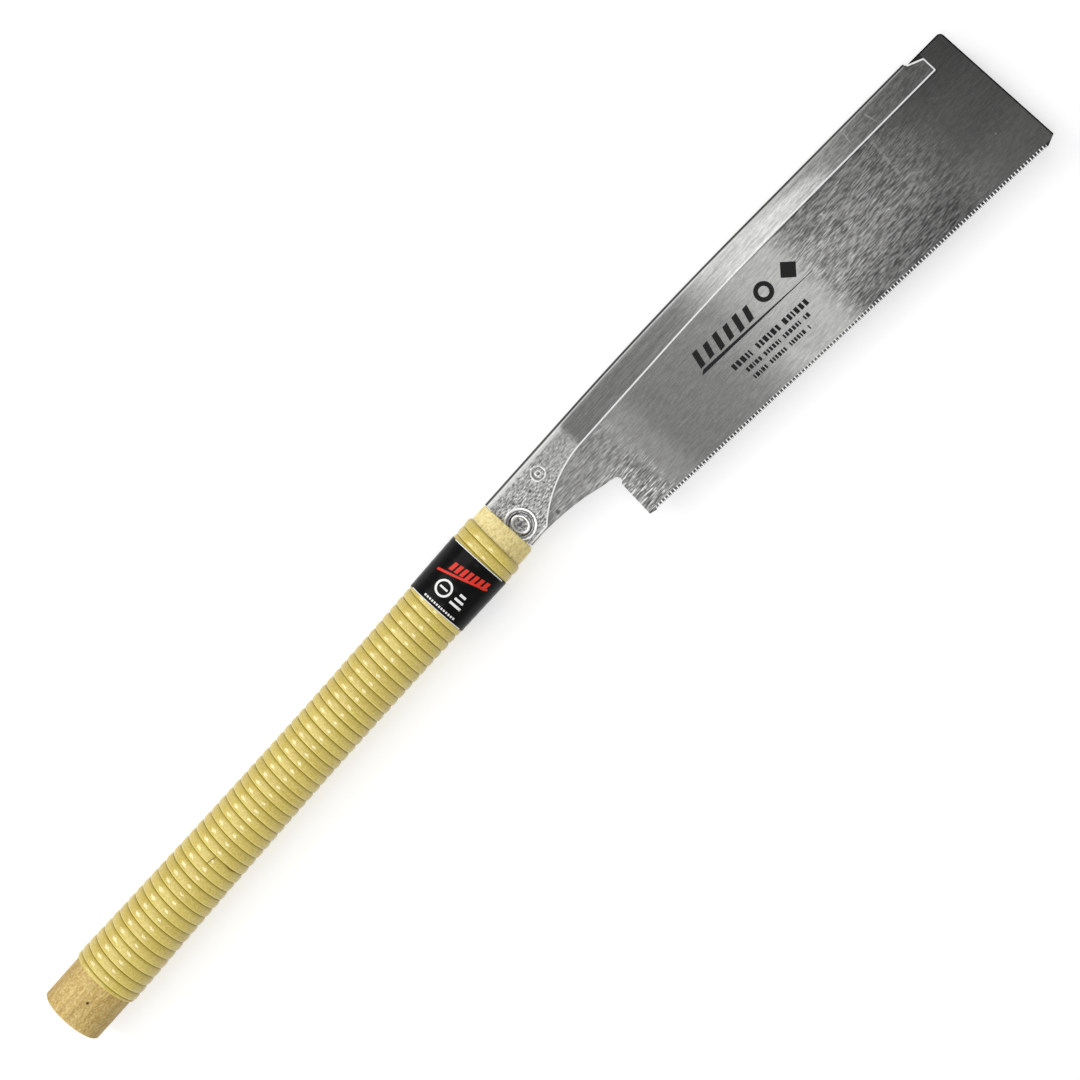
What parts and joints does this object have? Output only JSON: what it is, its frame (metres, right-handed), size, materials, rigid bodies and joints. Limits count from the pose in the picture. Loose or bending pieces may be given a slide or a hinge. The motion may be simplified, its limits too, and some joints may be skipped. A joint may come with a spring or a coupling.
{
  "type": "japanese pull saw",
  "caption": "Pull saw with a long oval cane-wound wooden handle, a folded steel spine and a thin finely toothed blade that swings out of the spine.",
  "frame": {"origin": "centre of the handle's flat butt end, on the handle's axis and in the blade's plane", "axes": "+X along the handle to the saw's tip, +Y to the spine side with the teeth on -Y, +Z square to the blade's side"},
  "size_m": [0.582, 0.0821, 0.0258],
  "materials": {
    "wood": "bare straight-grained softwood, lightly sanded",
    "cane": "glossy skin side of split cane",
    "label_film": null,
    "stainless": "folded stainless sheet, brushed",
    "blade_steel": "rolled spring steel with fine lengthwise scratches",
    "pin_steel": "plain steel"
  },
  "bodies": {
    "handle": {"handle_core": "wood", "cane_strip_rear": "cane", "cane_strip_front": "cane", "label_band": "label_film", "spine_holder": "stainless", "tang_pin_front": "pin_steel", "tang_pin_rear": "pin_steel", "hook_rivet": "stainless"},
    "blade": {"blade": "blade_steel"}
  },
  "joints": [
    {"name": "blade_swing", "type": "hinge", "parent": "handle", "child": "blade", "pos_m": [0.2951, -0.0031, 0], "axis": [0, 0, -1], "range_deg": [0, 20]}
  ]
}
